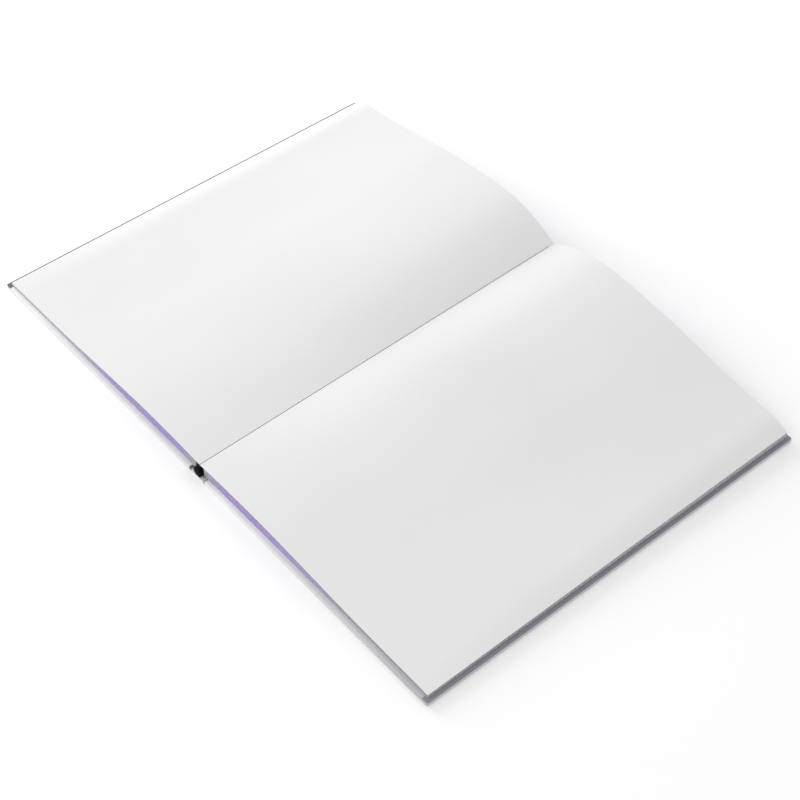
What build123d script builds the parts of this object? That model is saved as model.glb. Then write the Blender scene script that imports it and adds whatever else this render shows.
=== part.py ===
from build123d import *
import os

# Hardback sketchbook, lying open at its middle opening.
# X runs across the spread, Y runs up the page from tail to head, Z is up.
# The origin is under the middle of the spine, on the table.
# The front half lies on the -X side and the back half on the +X side.

# ---- driving dimensions, mm ----
page_height = 297.0
page_reach = 211.0          # gutter to fore edge, measured flat across the open spread
square = 2.6                # how far the boards stand out past the pages at head and tail
board_reach = 214.0         # middle of the spine to the fore edge of a board
board_thickness = 2.5
cloth = 0.4                 # covering cloth
paper = 0.2                 # pastedowns and flyleaves
spine_card = 1.2            # the stiff strip in the spine
mull = 0.3                  # open cloth glued along the section folds
lining = 0.3                # paper lining over the mull
joint_x = 6.5               # hinge line of a cover board
spine_half = joint_x - 0.7  # half width of the stiff spine
board_start = joint_x + 1.5  # inner edge of a cover board
fold_x = 4.6                # hinge line of a half of the pages
block_start = fold_x - 0.6  # inner edge of the sewn sections
turn_in = 14.0              # cloth turned over the edge of a board
band_half = 3.6             # half width of the head and tail bands
band_height = 7.0
band_depth = 2.4
section_count = 4           # sewn sections in each half
loose_leaves = 5            # leaves that stand away from the sections in each half
lift_share = 0.6            # share of the rise towards the head that the sewn sections take
loose_depth = 1.1           # height of the pile of loose leaves at the tail
leaf = 0.1                  # one leaf
stitch_count = 6
stitch_length = 30.0
thread_radius = 0.35
gap = 0.05                  # air between neighbouring leaves and sections
seat = 0.1                  # clearance between pages and cover

# heights of the open page above the underside of its flyleaf, from the gutter to the fore edge
gutter_tail, gutter_head = 6.8, 13.1
crest_tail, crest_head = 8.1, 28.1
middle_tail, middle_head = 4.1, 20.1
shoulder_tail, shoulder_head = 2.5, 10.2
fore_tail = 2.0
fore_head_front, fore_head_back = 2.0, 4.6
crest_x = 50.0
middle_x = 130.0
shoulder_in = 18.0          # where a page starts to droop, in from its fore edge

half_page = page_height / 2
half_board = half_page + square
board_low = cloth
board_high = board_low + board_thickness
paste_high = board_high + paper
spine_high = cloth + spine_card
os.makedirs("parts", exist_ok=True)


def save(piece, name):
    piece.label = name
    export_step(piece, f"parts/{name}.step")


def slab(name, x_low, x_high, y_half, z_low, z_high):
    with BuildPart() as piece:
        with BuildSketch(Plane.XY.offset(z_low)):
            with Locations(((x_low + x_high) / 2, 0)):
                Rectangle(x_high - x_low, 2 * y_half)
        extrude(amount=z_high - z_low)
    save(piece.part, name)


# ---- spine: stiff card, cloth, mull and lining ----
slab("spine_cloth", -spine_half, spine_half, half_board, 0, cloth)
slab("spine_board", -spine_half, spine_half, half_board, cloth, spine_high)
slab("spine_mull", -block_start, block_start, half_page - 5, spine_high, spine_high + mull)
slab("spine_lining", -block_start, block_start, half_page, spine_high + mull, spine_high + mull + lining)
lining_high = spine_high + mull + lining


# ---- head and tail bands: a small rolled strip at each end of the spine ----
def band(name, y_low):
    with BuildPart() as piece:
        with BuildSketch(Plane.XZ.offset(-y_low - band_depth)):
            with Locations((0, spine_high + band_height / 2)):
                RectangleRounded(2 * band_half, band_height, band_height / 2 - 0.4)
        extrude(amount=band_depth)
    save(piece.part, name)


band("tail_band", -half_page - gap - band_depth)
band("head_band", half_page + gap)


# ---- one cover: board, cloth wrapped round it and pastedown ----
def cover(side, name):
    inner, outer = side * board_start, side * board_reach
    middle, width = (inner + outer) / 2, board_reach - board_start
    board_half = half_board - cloth
    edge = outer - side * cloth

    with BuildPart() as board:
        with BuildSketch(Plane.XY.offset(board_low)):
            with Locations(((inner + edge) / 2, 0)):
                Rectangle(width - cloth, 2 * board_half)
        extrude(amount=board_thickness)
    save(board.part, f"{name}_board")

    with BuildPart() as wrap:
        with BuildSketch():
            with Locations((middle, 0)):
                Rectangle(width, 2 * half_board)
        extrude(amount=board_high + cloth)
        corners = wrap.edges().filter_by(Axis.Z).group_by(Axis.X)[0 if side < 0 else -1]
        fillet(corners, radius=1.2)
        with BuildSketch(Plane.XY.offset(board_low)):
            with Locations(((inner + edge) / 2, 0)):
                Rectangle(width - cloth, 2 * board_half)
        extrude(amount=board_thickness, mode=Mode.SUBTRACT)
        with BuildSketch(Plane.XY.offset(board_high)):
            with Locations(((inner + outer - side * turn_in) / 2, 0)):
                Rectangle(width - turn_in, 2 * (half_board - turn_in))
        extrude(amount=cloth, mode=Mode.SUBTRACT)
    save(wrap.part, f"{name}_cloth")

    with BuildPart() as pastedown:
        with BuildSketch(Plane.XY.offset(board_high)):
            with Locations(((inner + outer - side * turn_in) / 2, 0)):
                Rectangle(width - turn_in, 2 * (half_board - turn_in))
        extrude(amount=paper)
    save(pastedown.part, f"{name}_pastedown")

    # the cloth between spine and board, which bends when the cover turns
    low, high = sorted((side * spine_half, side * board_start))
    slab(f"{name}_joint_cloth", low, high, half_board, 0, cloth)


cover(-1, "front")
cover(1, "back")


# ---- pages ----
def page_line(side, start, gutter, crest, middle, shoulder, fore):
    """Points and slopes of a page seen from its end, from the gutter to the fore edge."""
    shoulder_x = page_reach - shoulder_in
    rise = (crest - gutter) / crest_x
    fall = (crest - shoulder) / (shoulder_x - crest_x)
    settle = (middle - shoulder) / (shoulder_x - middle_x)
    droop = (shoulder - fore) / shoulder_in
    stations = [start, crest_x, middle_x, shoulder_x, page_reach]
    run = page_reach - start
    points = [(side * x, z) for x, z in zip(stations, (gutter, crest, middle, shoulder, fore))]
    slopes = [1.8 * rise, 0, -fall, -settle, -1.5 * droop]
    tangents = [(side * run, slope * run) for slope in slopes]
    shares = [(x - start) / run for x in stations]
    return points, {"tangents": tangents, "parameters": shares, "scale": False}


def sheet(side, y, start, upper, lower):
    """The end face of a stack of paper, between two page lines."""
    with BuildSketch(Plane.XZ.offset(-y)) as end:
        with BuildLine():
            top_points, top_shape = page_line(side, start, *upper)
            low_points, low_shape = page_line(side, start, *lower)
            add(Edge.make_spline(top_points, **top_shape))
            add(Edge.make_spline(low_points, **low_shape))
            Line(top_points[0], low_points[0])
            Line(top_points[-1], low_points[-1])
        make_face()
    return end.sketch.faces()[0]


def between(low, high, share):
    return tuple(a + (b - a) * share for a, b in zip(low, high))


def thinner(line, drop):
    return tuple(value - drop for value in line)


floor_z = board_high + cloth + seat


def above_floor(*heights):
    return tuple(floor_z + height for height in heights)


tail_top = above_floor(gutter_tail, crest_tail, middle_tail, shoulder_tail, fore_tail)
head_top = above_floor(gutter_head, crest_head, middle_head, shoulder_head)
flyleaf_line = (floor_z + paper,) * len(tail_top)
stack_bottom = thinner(flyleaf_line, -gap)
stack_top = thinner(tail_top, loose_depth)


def half_block(side, name, fore_head):
    full_head = (*head_top, *above_floor(fore_head))
    stack_head = between(stack_top, full_head, lift_share)
    low, high = sorted((side * block_start, side * page_reach))
    slab(f"{name}_flyleaf", low, high, half_page, floor_z, floor_z + paper)
    for index in range(section_count):
        with BuildPart() as section:
            for y, top in ((-half_page, stack_top), (half_page, stack_head)):
                lower = between(stack_bottom, top, index / section_count)
                upper = thinner(between(stack_bottom, top, (index + 1) / section_count), gap)
                add(sheet(side, y, block_start, upper, lower))
            loft(ruled=True)
        save(section.part, f"{name}_section_{index + 1}")
    for index in range(loose_leaves + 1):
        share = (index + 1) / (loose_leaves + 1)
        tail = between(stack_top, tail_top, share)
        head = between(stack_head, full_head, share)
        start = gap * 4 if index == loose_leaves else block_start
        with BuildPart() as page:
            add(sheet(side, -half_page, start, tail, thinner(tail, leaf)))
            add(sheet(side, half_page, start, head, thinner(head, leaf)))
            loft(ruled=True)
        top_name = "turning_leaf" if side > 0 else "front_top_leaf"
        label = top_name if index == loose_leaves else f"{name}_leaf_{index + 1}"
        save(page.part, label)


half_block(-1, "front", fore_head_front)
half_block(1, "back", fore_head_back)


# ---- sewing thread: short stitches lying along the folds, under the gutter ----
with BuildPart() as thread:
    for index in range(stitch_count):
        y = (index + 0.5 - stitch_count / 2) * page_height / stitch_count
        with BuildSketch(Plane.XZ.offset(-y - stitch_length / 2)):
            with Locations((0, lining_high + thread_radius)):
                Circle(thread_radius)
        extrude(amount=stitch_length)
save(thread.part, "sewing_thread")
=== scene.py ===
import bpy
import bmesh
import math
from mathutils import Matrix, Vector


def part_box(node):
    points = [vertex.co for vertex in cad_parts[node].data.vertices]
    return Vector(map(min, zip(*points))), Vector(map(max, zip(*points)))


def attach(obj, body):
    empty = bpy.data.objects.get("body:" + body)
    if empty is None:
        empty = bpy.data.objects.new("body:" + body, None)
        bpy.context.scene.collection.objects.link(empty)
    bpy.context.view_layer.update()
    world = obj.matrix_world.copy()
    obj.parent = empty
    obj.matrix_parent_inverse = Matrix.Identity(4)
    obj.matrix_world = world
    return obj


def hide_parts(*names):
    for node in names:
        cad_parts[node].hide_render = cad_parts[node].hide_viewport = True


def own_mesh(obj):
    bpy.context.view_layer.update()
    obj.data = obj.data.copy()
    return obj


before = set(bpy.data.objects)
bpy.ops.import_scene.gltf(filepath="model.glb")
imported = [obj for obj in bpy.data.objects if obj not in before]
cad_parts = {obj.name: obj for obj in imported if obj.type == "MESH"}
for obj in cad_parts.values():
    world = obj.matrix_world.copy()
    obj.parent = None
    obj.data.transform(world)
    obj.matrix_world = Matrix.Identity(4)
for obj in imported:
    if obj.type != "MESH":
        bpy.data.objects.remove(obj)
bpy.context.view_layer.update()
print("frame loaded")


class Sock:
    # wraps a node socket, so that maths on values reads as plain expressions
    def __init__(self, tree, socket):
        self.tree = tree
        self.socket = socket

    def math(self, operation, *values):
        node = self.tree.nodes.new("ShaderNodeMath")
        node.operation = operation
        for place, value in enumerate((self,) + values):
            feed(self.tree, node.inputs[place], value)
        return Sock(self.tree, node.outputs[0])

    def __add__(self, other):
        return self.math("ADD", other)

    def __mul__(self, other):
        return self.math("MULTIPLY", other)

    def __sub__(self, other):
        return self.math("SUBTRACT", other)

    def __truediv__(self, other):
        return self.math("DIVIDE", other)

    def __rsub__(self, other):
        return (self * -1.0) + other

    def __pow__(self, other):
        return self.math("POWER", other)

    __radd__ = __add__
    __rmul__ = __mul__

    def clamp(self):
        return self.math("MAXIMUM", 0.0).math("MINIMUM", 1.0)

    def step(self, low, high):
        # 0 below low, 1 above high, straight between
        return ((self - low) / (high - low)).clamp()


def feed(tree, target, value):
    if isinstance(value, Sock):
        tree.links.new(value.socket, target)
    else:
        target.default_value = value


class Nodes:
    # adds nodes to one tree, for shaders and for geometry alike
    def __init__(self, tree):
        self.tree = tree

    def make(self, kind, settings=None, inputs=None, out=0):
        node = self.tree.nodes.new(kind)
        for name, value in (settings or {}).items():
            setattr(node, name, value)
        for name, value in (inputs or {}).items():
            feed(self.tree, node.inputs[name], value)
        return Sock(self.tree, node.outputs[out])

    def split(self, vector):
        node = self.tree.nodes.new("ShaderNodeSeparateXYZ")
        feed(self.tree, node.inputs[0], vector)
        return [Sock(self.tree, output) for output in node.outputs]

    def join(self, x, y, z):
        return self.make("ShaderNodeCombineXYZ", None, {0: x, 1: y, 2: z})

    def mixColour(self, factor, first, second):
        # sockets 0, 6 and 7 are the factor and the two colours
        colours = {0: factor, 6: rgba(first), 7: rgba(second)}
        return self.make("ShaderNodeMix", {"data_type": "RGBA"}, colours, out=2)

    def noise(self, vector, scale, detail=4.0):
        inputs = {"Vector": vector, "Scale": scale, "Detail": detail}
        return self.make("ShaderNodeTexNoise", None, inputs)

    def drawnNoise(self, vector, scales, detail):
        # noise with its own scale along each axis, for fibres and layers
        mapped = self.make("ShaderNodeMapping", None, {"Vector": vector, "Scale": scales})
        return self.noise(mapped, 1.0, detail)

    def bump(self, height, strength, distance):
        inputs = {"Strength": strength, "Distance": distance, "Height": height}
        return self.make("ShaderNodeBump", None, inputs)


def rgba(colour):
    # a plain colour gets its alpha; a colour from a node is left as it is
    return colour if isinstance(colour, Sock) else (*colour, 1.0)


def material(name, build, **shader):
    mat = bpy.data.materials.new(name)
    mat.use_nodes = True
    bsdf = mat.node_tree.nodes["Principled BSDF"]
    for socket, value in shader.items():
        bsdf.inputs[socket.replace("_", " ")].default_value = value
    n = Nodes(mat.node_tree)
    place = n.make("ShaderNodeTexCoord", out=3)  # Object coordinates
    for socket, value in build(n, place).items():
        feed(mat.node_tree, bsdf.inputs[socket], value)
    return mat


# sizes taken from the frame
pageReach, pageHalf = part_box("turning_leaf")[1][:2]
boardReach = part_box("back_cloth")[1][0]
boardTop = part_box("back_cloth")[1][2]
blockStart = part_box("back_section_1")[0][0]
fullTurn = 2 * math.pi


# a white, lightly toothed cartridge paper
paperFinish = {
    "white": (0.745, 0.745, 0.75), "shade": (0.71, 0.71, 0.715),
    "cloud": 9.0, "tooth": 900.0, "fibre": (300, 1500, 300),
    "cloudDetail": 3.0, "toothDetail": 3.0, "fibreDetail": 2.0,
    "toothShare": 0.6, "fibreShare": 0.4, "cloudShare": 0.7, "grainShare": 0.3,
    "toneRange": (0.3, 0.7), "bump": 0.03, "bumpHeight": 0.0002,
    "rough": 0.82, "roughGrain": 0.1,
}


def buildPaper(n, place):
    s = paperFinish
    cloud = n.noise(place, s["cloud"], s["cloudDetail"])
    tooth = n.noise(place, s["tooth"], s["toothDetail"])
    fibre = n.drawnNoise(place, s["fibre"], s["fibreDetail"])
    grain = tooth * s["toothShare"] + fibre * s["fibreShare"]
    tone = (cloud * s["cloudShare"] + grain * s["grainShare"]).step(*s["toneRange"])
    return {"Base Color": n.mixColour(tone, s["shade"], s["white"]),
            "Roughness": s["rough"] + grain * s["roughGrain"],
            "Normal": n.bump(grain, s["bump"], s["bumpHeight"])}


# lilac ranges are shares of the way from the gutter to the fore edge
edgeFinish = {
    # pale and dark are painted light and painted shade: pale for the cut edges of the left half, dark
    # for the right half
    "lilac": (0.31, 0.15, 0.64), "pale": (0.52, 0.51, 0.55), "dark": (0.17, 0.16, 0.20),
    # between is painted shade: the dark purple lines between the leaves
    "between": (0.13, 0.08, 0.24), "leafGapShadeShare": 0.35, "leafGapShadeRange": (0.35, 0.65),
    "lilacStarts": (0.02, 0.10), "lilacEnds": (0.42, 0.78), "litLeftShadedRight": (-0.10, 0.10),
    "leaves": (30, 30, 5200.0), "leavesDetail": 2.0,
    "bump": 0.3, "bumpHeight": 0.0002, "rough": 0.75, "roughLeaves": 0.15,
}


def buildEdge(n, place):
    # cut edges of the leaves: lilac near the gutter; out to the left pale grey as painted light, out to
    # the right dark as painted shade; dark lines between the leaves are painted shade
    s = edgeFinish
    x = n.split(place)[0]
    outward = x.math("ABSOLUTE") / pageReach
    lilac = outward.step(*s["lilacStarts"]) * (1 - outward.step(*s["lilacEnds"]))
    # painted light and shade: the left half's edges pale, the right half's dark
    litAndShadedSides = n.mixColour(x.step(*s["litLeftShadedRight"]), s["pale"], s["dark"])
    leaves = n.drawnNoise(place, s["leaves"], s["leavesDetail"])
    colour = n.mixColour(lilac, litAndShadedSides, s["lilac"])
    # painted shade in the lines between the leaves
    between = leaves.step(*s["leafGapShadeRange"]) * s["leafGapShadeShare"]
    return {"Base Color": n.mixColour(between, colour, s["between"]),
            "Roughness": s["rough"] + leaves * s["roughLeaves"],
            "Normal": n.bump(leaves, s["bump"], s["bumpHeight"])}


clothFinish = {
    # the grey tone for the back cover below is painted shade
    "base": (0.76, 0.76, 0.77), "pale": (0.86, 0.86, 0.86), "backShade": (0.38, 0.37, 0.40),
    # the rim tones paint a charcoal strip along each fore edge, partly the cloth's dark turn-in and
    # partly painted shade under the page edges
    "rimBack": (0.20, 0.19, 0.225), "rimFront": (0.035, 0.035, 0.04), "frontToBack": (-0.1, 0.1),
    "threads": 1400.0, "slub": 60.0, "slubDetail": 5.0, "wear": 400.0, "wearDetail": 3.0,
    "slubRange": (0.35, 0.65), "slubShare": 0.6, "weaveShare": 0.3,
    "backShadeRange": (0.04, 0.20), "backShadeShare": 0.75,
    "rimWidth": 0.005, "rimFade": 0.0004, "rimBelowTop": (0.0009, 0.0003),
    "rimShare": 0.85, "rimWear": 0.15,
    "bump": 0.12, "bumpHeight": 0.0002, "bumpWear": 0.5, "rough": 0.5, "roughWear": 0.2,
}


def buildCloth(n, place):
    # fine pale book cloth, with painted shade making it greyer on the back cover, and a charcoal strip
    # on top along each fore edge that is partly the cloth's dark turn-in and partly painted shade under
    # the page edges
    s = clothFinish
    x, y, z = n.split(place)
    warp = (x * (s["threads"] * fullTurn)).math("SINE")
    weft = (y * (s["threads"] * fullTurn)).math("SINE")
    weave = warp * weft * 0.5 + 0.5
    slub = n.noise(place, s["slub"], s["slubDetail"])
    wear = n.noise(place, s["wear"], s["wearDetail"])
    mottle = slub.step(*s["slubRange"]) * s["slubShare"] + weave * s["weaveShare"]
    pale = n.mixColour(mottle, s["base"], s["pale"])
    # painted shade: the cloth turns greyer on the back cover
    base = n.mixColour(x.step(*s["backShadeRange"]) * s["backShadeShare"], pale, s["backShade"])
    # charcoal strip on top along each fore edge: partly dark cloth, partly painted shade under the page
    # edges, darker on the front cover
    lowest, highest = (boardTop - depth for depth in s["rimBelowTop"])
    inner = boardReach - s["rimWidth"]
    stripAndShade = x.math("ABSOLUTE").step(inner, inner + s["rimFade"]) * z.step(lowest, highest)
    stripAndShade = stripAndShade * (s["rimShare"] + wear * s["rimWear"])
    stripAndShadeTone = n.mixColour(x.step(*s["frontToBack"]), s["rimFront"], s["rimBack"])
    return {"Base Color": n.mixColour(stripAndShade, base, stripAndShadeTone),
            "Roughness": s["rough"] + wear * s["roughWear"],
            "Normal": n.bump(weave + wear * s["bumpWear"], s["bump"], s["bumpHeight"])}


boardFinish = {
    "dark": (0.20, 0.19, 0.175), "light": (0.34, 0.32, 0.29), "toneRange": (0.35, 0.65),
    "fleck": 700.0, "fleckDetail": 4.0, "layers": (80, 80, 4000), "layersDetail": 3.0,
    "bump": 0.3, "bumpHeight": 0.0002, "rough": 0.9, "roughFleck": 0.1,
}


def buildBoard(n, place):
    # pressed grey board, flecked and laid in thin layers
    s = boardFinish
    fleck = n.noise(place, s["fleck"], s["fleckDetail"])
    layers = n.drawnNoise(place, s["layers"], s["layersDetail"])
    mixed = (fleck + layers) * 0.5
    return {"Base Color": n.mixColour(mixed.step(*s["toneRange"]), s["dark"], s["light"]),
            "Roughness": s["rough"] - fleck * s["roughFleck"],
            "Normal": n.bump(mixed, s["bump"], s["bumpHeight"])}


# each ribbed cloth has a dark tone, a light tone and a pitch in metres
ribbedFinish = {
    # the band's near black is partly the black headband and tailband cloth and partly painted shade of
    # the gap at the spine
    "band": ((0.001, 0.001, 0.0015), (0.006, 0.006, 0.007), 0.0009),
    "thread": ((0.50, 0.48, 0.42), (0.72, 0.70, 0.64), 0.0007),
    "mull": ((0.45, 0.43, 0.38), (0.72, 0.70, 0.64), 0.0012),
    "lining": ((0.03, 0.03, 0.035), (0.06, 0.06, 0.065), 0.0025),
    "slant": 0.5, "fuzz": 2500.0, "fuzzDetail": 2.0,
    "ribShare": 0.6, "crossShare": 0.3, "fuzzShare": 0.1,
    "bump": 0.5, "bumpHeight": 0.0003, "rough": 0.7, "roughFuzz": 0.2,
}


def ribbed(cloth):
    # slanted ribs crossed by a second set of threads, for the small woven parts and the lining
    s = ribbedFinish
    dark, light, pitch = s[cloth]

    def build(n, place):
        x, y, z = n.split(place)
        ribs = ((x + y * s["slant"]) * (fullTurn / pitch)).math("SINE") * 0.5 + 0.5
        crossing = ((z - y) * (fullTurn / pitch)).math("SINE") * 0.5 + 0.5
        fuzz = n.noise(place, s["fuzz"], s["fuzzDetail"])
        height = ribs * s["ribShare"] + crossing * s["crossShare"] + fuzz * s["fuzzShare"]
        return {"Base Color": n.mixColour(height, dark, light),
                "Roughness": s["rough"] + fuzz * s["roughFuzz"],
                "Normal": n.bump(height, s["bump"], s["bumpHeight"])}

    return build


paper = material("drawing paper", buildPaper, Specular_IOR_Level=0.3, Sheen_Weight=0.1)
pageEdge = material("cut page edge", buildEdge, Specular_IOR_Level=0.2)
bookCloth = material("cover cloth", buildCloth, Specular_IOR_Level=0.45,
                     Sheen_Weight=0.15, Sheen_Roughness=0.4)
greyBoard = material("grey board", buildBoard, Specular_IOR_Level=0.2)
bandClothAndGapShade = material("black band cloth and gap shade", ribbed("band"), Specular_IOR_Level=0.1)
threadFinish = material("waxed linen thread", ribbed("thread"))
mullCloth = material("mull", ribbed("mull"))
liningPaper = material("spine lining paper", ribbed("lining"))
print("finishes made")


# the curve of an open page, in metres from the gutter outwards
pageCurve = {
    "crestAt": 0.050, "middleAt": 0.130, "shoulderIn": 0.018,
    "pastMiddle": 0.020, "beforeMiddle": 0.025, "pastShoulder": 0.008,
    "riseCurve": 2.0, "foreCurve": 2.0, "cutsAlong": 45, "cutsUp": 13, "seedApart": 7.0,
}


def pageStackTree():
    # leaves between a low and a high page line; each line has five heights, from the gutter out
    c = pageCurve
    tree = bpy.data.node_groups.new("pageStack", "GeometryNodeTree")
    sockets = {
        "Leaves": "NodeSocketInt", "Side": "NodeSocketFloat", "Start": "NodeSocketFloat",
        "Reach": "NodeSocketFloat", "Crest At": "NodeSocketFloat", "Middle At": "NodeSocketFloat",
        "Shoulder At": "NodeSocketFloat", "Half Height": "NodeSocketFloat", "Fill": "NodeSocketFloat",
        "Leaf": "NodeSocketFloat", "Stray": "NodeSocketFloat", "Seed": "NodeSocketInt",
    }
    for level in ("Low", "High"):
        for end in ("Tail", "Tail Outer", "Head", "Head Outer"):
            sockets[f"{level} {end}"] = "NodeSocketVector"
    tree.interface.new_socket("Geometry", in_out="OUTPUT", socket_type="NodeSocketGeometry")
    for name, kind in sockets.items():
        tree.interface.new_socket(name, in_out="INPUT", socket_type=kind)
    n = Nodes(tree)
    entry = tree.nodes.new("NodeGroupInput")
    get = {name: Sock(tree, entry.outputs[name]) for name in sockets}

    # one flat blank for each leaf, numbered from the bottom up
    index = n.make("GeometryNodeInputIndex")
    line = n.make("GeometryNodeMeshLine", {"mode": "OFFSET"},
                  {"Count": get["Leaves"], "Offset": (0, 0, 0)})
    numbered = n.make("GeometryNodeStoreNamedAttribute", {"data_type": "FLOAT", "domain": "POINT"},
                      {"Geometry": line, "Name": "leafIndex", "Value": index})
    blank = n.make("GeometryNodeMeshCube", None,
                   {"Size": (1, 1, 1), "Vertices X": c["cutsAlong"],
                    "Vertices Y": c["cutsUp"], "Vertices Z": 2})
    leaves = n.make("GeometryNodeInstanceOnPoints", None, {"Points": numbered, "Instance": blank})
    real = n.make("GeometryNodeRealizeInstances", None, {"Geometry": leaves})
    leaf = n.make("GeometryNodeInputNamedAttribute", {"data_type": "FLOAT"}, {"Name": "leafIndex"})

    def strayBy(seed):
        return n.make("FunctionNodeRandomValue", {"data_type": "FLOAT"},
                      {"ID": leaf, "Seed": seed, "Min": -1.0, "Max": 0.0}, out=1)

    # the blank is 1 long and centred, so x + 0.5 runs from 0 at the gutter to 1 at the fore edge;
    # each leaf falls short of the full size by its own small amount
    x, y, z = n.split(n.make("GeometryNodeInputPosition"))
    stray = strayBy(get["Seed"])
    strayUp = strayBy(get["Seed"] + c["seedApart"])
    along = get["Start"] + (get["Reach"] + stray * get["Stray"] - get["Start"]) * (x + 0.5)
    up = y * 2.0 * (get["Half Height"] + strayUp * get["Stray"])
    toHead = y + 0.5

    def ramp(start, end):
        return n.make("ShaderNodeMapRange", {"interpolation_type": "SMOOTHSTEP"},
                      {"Value": along, "From Min": start, "From Max": end})

    rise = (along / get["Crest At"]).clamp()
    riseShape = 1 - (1 - rise) ** c["riseCurve"]
    toMiddle = ramp(get["Crest At"], get["Middle At"] + c["pastMiddle"])
    toShoulder = ramp(get["Middle At"] - c["beforeMiddle"], get["Shoulder At"] + c["pastShoulder"])
    pastShoulder = (along - get["Shoulder At"]) / (get["Reach"] - get["Shoulder At"])
    toFore = pastShoulder.clamp() ** c["foreCurve"]

    def height(lineName):
        gutter, crest, middle = n.split(get[lineName])
        shoulder, fore = n.split(get[lineName + " Outer"])[:2]
        return (gutter + (crest - gutter) * riseShape - (crest - middle) * toMiddle
                - (middle - shoulder) * toShoulder - (shoulder - fore) * toFore)

    low = height("Low Tail") * (1 - toHead) + height("Low Head") * toHead
    high = height("High Tail") * (1 - toHead) + height("High Head") * toHead
    share = (high - low) / get["Leaves"]
    thick = (share * get["Fill"]).math("MINIMUM", get["Leaf"])
    where = n.join(along * get["Side"], up, low + share * leaf + thick * (z + 0.5))
    shaped = n.make("GeometryNodeSetPosition", None, {"Geometry": real, "Position": where})
    finished = n.make("GeometryNodeSetMaterial", None, {"Geometry": shaped, "Material": paper})
    exitNode = tree.nodes.new("NodeGroupOutput")
    tree.links.new(finished.socket, exitNode.inputs["Geometry"])
    return tree


stackTree = pageStackTree()


def grow(tree, name, values):
    # runs a node tree with the given inputs and returns a plain mesh object
    carrier = bpy.data.objects.new(name + "Carrier", bpy.data.meshes.new(name + "Carrier"))
    bpy.context.scene.collection.objects.link(carrier)
    modifier = carrier.modifiers.new("grow", "NODES")
    modifier.node_group = tree
    for item in tree.interface.items_tree:
        if item.in_out == "INPUT":
            modifier[item.identifier] = values[item.name]
    bpy.context.view_layer.update()
    seen = carrier.evaluated_get(bpy.context.evaluated_depsgraph_get())
    mesh = bpy.data.meshes.new_from_object(seen)
    mesh.name = name
    bpy.data.objects.remove(carrier)
    piece = bpy.data.objects.new(name, mesh)
    bpy.context.scene.collection.objects.link(piece)
    return piece


def faceOutwards(piece):
    work = bmesh.new()
    work.from_mesh(piece.data)
    bmesh.ops.recalc_face_normals(work, faces=work.faces)
    work.to_mesh(piece.data)
    work.free()
    for polygon in piece.data.polygons:
        polygon.use_smooth = True


edgeCut = {"upright": 0.6, "sharpFrom": math.radians(45)}


def paintEdges(piece):
    # the cut edges of the leaves take the second material, and stay flat shaded
    piece.data.materials.clear()
    piece.data.materials.append(paper)
    piece.data.materials.append(pageEdge)
    for polygon in piece.data.polygons:
        if abs(polygon.normal.z) < edgeCut["upright"]:
            polygon.material_index = 1
            polygon.use_smooth = False
    piece.data.set_sharp_from_angle(angle=edgeCut["sharpFrom"])


# tail and head hold the top page's heights at the gutter, crest, middle and shoulder;
# tail has the fore edge too, and foreHead gives it for the head of each half
stackShape = {
    "tail": (0.0102, 0.0115, 0.0075, 0.0059, 0.0054), "head": (0.0165, 0.0315, 0.0235, 0.0136),
    "foreHead": {"front": 0.0054, "back": 0.0080},
    "sections": 4, "leavesPerSection": 8, "sectionLeaf": 0.0003, "sectionFill": 0.72,
    "looseLeaves": 5, "looseDepth": 0.0011, "liftShare": 0.6, "leaf": 0.0001,
    "flyleafGap": 0.00005, "topStart": 0.0002, "stray": 0.0003, "seedStep": 11,
    "pressedSection": 0.19, "pressedLeaf": 0.008, "pressedGap": 0.0003,
}


def between(low, high, share):
    return tuple(a + (b - a) * share for a, b in zip(low, high))


def pages(name, side, body, values, lines, node, anchor):
    values = {"Side": float(side), "Reach": pageReach, "Crest At": pageCurve["crestAt"],
              "Middle At": pageCurve["middleAt"],
              "Shoulder At": pageReach - pageCurve["shoulderIn"],
              "Half Height": pageHalf, "Leaf": stackShape["leaf"], **values}
    for end, heights in lines.items():
        values[end] = heights[:3]
        values[end + " Outer"] = (*heights[3:], 0.0)
    piece = grow(stackTree, name, values)
    faceOutwards(piece)
    paintEdges(piece)
    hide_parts(node)
    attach(piece, body)
    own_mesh(piece)


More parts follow.
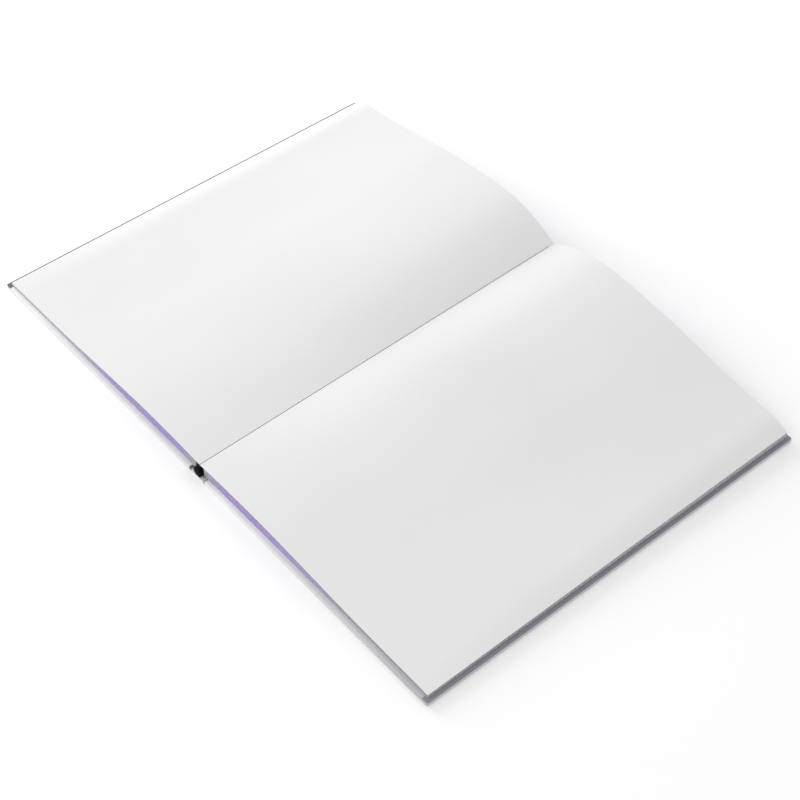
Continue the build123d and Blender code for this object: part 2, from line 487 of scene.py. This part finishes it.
def halfBook(side, half):
    # sewn sections from the flyleaf up, then the loose leaves with the open page on top
    s = stackShape
    body = f"{half}_pages"
    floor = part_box(f"{half}_flyleaf")[0][2]
    low = (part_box(f"{half}_flyleaf")[1][2] + s["flyleafGap"],) * len(s["tail"])
    stackTop = tuple(h - s["looseDepth"] for h in s["tail"])
    fullHead = (*s["head"], s["foreHead"][half])
    stackHead = between(stackTop, fullHead, s["liftShare"])
    pressedTop = floor + s["pressedSection"] * (max(stackHead) - floor)
    for number in range(s["sections"]):
        lines = {}
        for end, top in (("Tail", stackTop), ("Head", stackHead)):
            lines["Low " + end] = between(low, top, number / s["sections"])
            lines["High " + end] = between(low, top, (number + 1) / s["sections"])
        values = {"Leaves": s["leavesPerSection"], "Start": blockStart,
                  "Seed": s["seedStep"] * number + int(side + 2),
                  "Fill": s["sectionFill"], "Stray": s["stray"], "Leaf": s["sectionLeaf"]}
        pages(f"{half}Section{number + 1}", side, body, values, lines,
              f"{half}_section_{number + 1}", floor)
    topNode = "turning_leaf" if side > 0 else "front_top_leaf"
    topBody = "turning_leaf" if side > 0 else body
    for number in range(s["looseLeaves"] + 1):
        last = number == s["looseLeaves"]
        share = (number + 1) / (s["looseLeaves"] + 1)
        tail = between(stackTop, s["tail"], share)
        head = between(stackHead, fullHead, share)
        values = {"Leaves": 1, "Start": s["topStart"] if last else blockStart,
                  "Seed": number, "Fill": 1.0, "Stray": 0.0}
        lines = {"Low Tail": tuple(h - s["leaf"] for h in tail), "High Tail": tail,
                 "Low Head": tuple(h - s["leaf"] for h in head), "High Head": head}
        pages(f"{half}Leaf{number + 1}", side, topBody if last else body, values, lines,
              topNode if last else f"{half}_leaf_{number + 1}",
              pressedTop + s["pressedGap"])


halfBook(-1, "front")
halfBook(1, "back")
print("pages made")


caseShape = {
    "clothRoll": 0.00017, "bandRoll": 0.0003, "rollSteps": 3,
    "weld": 0.00001, "flatWithin": math.radians(2),
    "rollFrom": math.radians(40), "sharpFrom": math.radians(50),
}


def roundedCopy(node, body, finish, width):
    # the same shape as the node, with its edges rolled over
    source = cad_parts[node]
    work = bmesh.new()
    work.from_mesh(source.data)
    bmesh.ops.transform(work, matrix=source.matrix_world, verts=work.verts)
    bmesh.ops.remove_doubles(work, verts=work.verts, dist=caseShape["weld"])
    bmesh.ops.dissolve_limit(work, angle_limit=caseShape["flatWithin"],
                             verts=work.verts, edges=work.edges)
    mesh = bpy.data.meshes.new(node + "Rounded")
    work.to_mesh(mesh)
    work.free()
    piece = bpy.data.objects.new(node + "Rounded", mesh)
    bpy.context.scene.collection.objects.link(piece)
    bevel = piece.modifiers.new("roll", "BEVEL")
    bevel.width = width
    bevel.segments = caseShape["rollSteps"]
    bevel.limit_method = "ANGLE"
    bevel.angle_limit = caseShape["rollFrom"]
    bpy.context.view_layer.update()
    seen = piece.evaluated_get(bpy.context.evaluated_depsgraph_get())
    rolled = bpy.data.meshes.new_from_object(seen)
    piece.modifiers.clear()
    piece.data = rolled
    faceOutwards(piece)
    piece.data.materials.clear()
    piece.data.materials.append(finish)
    piece.data.set_sharp_from_angle(angle=caseShape["sharpFrom"])
    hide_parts(node)
    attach(piece, body)


def dress(node, finish):
    # keeps the node's own shape and gives it a finish
    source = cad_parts[node]
    source.data.materials.clear()
    source.data.materials.append(finish)


for half in ("front", "back"):
    roundedCopy(f"{half}_cloth", f"{half}_cover", bookCloth, caseShape["clothRoll"])
    dress(f"{half}_board", greyBoard)
    dress(f"{half}_pastedown", paper)
    dress(f"{half}_flyleaf", paper)
    dress(f"{half}_joint_cloth", bookCloth)
dress("spine_cloth", bookCloth)
dress("spine_board", bookCloth)
dress("spine_mull", mullCloth)
dress("spine_lining", liningPaper)
# the bands' near-black finish also paints the shade of the gap at the spine
roundedCopy("tail_band", "spine", bandClothAndGapShade, caseShape["bandRoll"])
roundedCopy("head_band", "spine", bandClothAndGapShade, caseShape["bandRoll"])
dress("sewing_thread", threadFinish)
print("case made")


floorSet = {
    "size": 12, "dark": (0.93, 0.93, 0.93), "light": (0.95, 0.95, 0.95),
    "patches": 3.0, "rough": 0.9,
}


def buildFloor(n, place):
    patches = n.noise(place, floorSet["patches"])
    return {"Base Color": n.mixColour(patches, floorSet["dark"], floorSet["light"])}


def makeFloor():
    bpy.ops.mesh.primitive_plane_add(size=floorSet["size"], location=(0, 0, 0))
    floor = bpy.context.object
    floor.name = "floor"
    finish = material("pale floor", buildFloor, Roughness=floorSet["rough"])
    floor.data.materials.append(finish)


lightSet = {"world": 0.94, "power": 15.5, "width": 0.9, "at": (-1.5, -0.2, 0.5)}


def makeLights():
    # an even white surround, and a softbox low on the left
    scene = bpy.context.scene
    world = bpy.data.worlds.new("studio")
    world.use_nodes = True
    background = world.node_tree.nodes["Background"]
    background.inputs["Color"].default_value = (1, 1, 1, 1)
    background.inputs["Strength"].default_value = lightSet["world"]
    scene.world = world
    scene.view_settings.view_transform = "Standard"
    data = bpy.data.lights.new("softbox", "AREA")
    data.energy = lightSet["power"]
    data.size = lightSet["width"]
    lamp = bpy.data.objects.new("softbox", data)
    lamp.location = lightSet["at"]
    lamp.rotation_euler = Vector(lightSet["at"]).to_track_quat("Z", "Y").to_euler()
    scene.collection.objects.link(lamp)


# angles in degrees, distances in metres, lens and sensor in millimetres
cameraSet = {
    "turn": 48.472, "pitch": 47.984, "roll": 1.345,
    "distance": 1.1694, "target": (0.03074, -0.01432, 0),
    "lens": 82.782, "sensor": 36.0,
}


def makeCamera():
    c = cameraSet
    turn, pitch, roll = (math.radians(c[k]) for k in ("turn", "pitch", "roll"))
    back = Vector((math.sin(turn) * math.cos(pitch), -math.cos(turn) * math.cos(pitch), math.sin(pitch)))
    right = Vector((math.cos(turn), math.sin(turn), 0))
    up = back.cross(right)
    rolledRight = right * math.cos(roll) + up * math.sin(roll)
    rolledUp = up * math.cos(roll) - right * math.sin(roll)
    data = bpy.data.cameras.new("camera")
    data.sensor_width = c["sensor"]
    data.lens = c["lens"]
    camera = bpy.data.objects.new("camera", data)
    turned = Matrix((rolledRight, rolledUp, back)).transposed().to_4x4()
    turned.translation = Vector(c["target"]) + back * c["distance"]
    camera.matrix_world = turned
    bpy.context.scene.collection.objects.link(camera)
    bpy.context.scene.camera = camera


makeFloor()
makeLights()
makeCamera()
bpy.context.view_layer.update()
print("stage made")
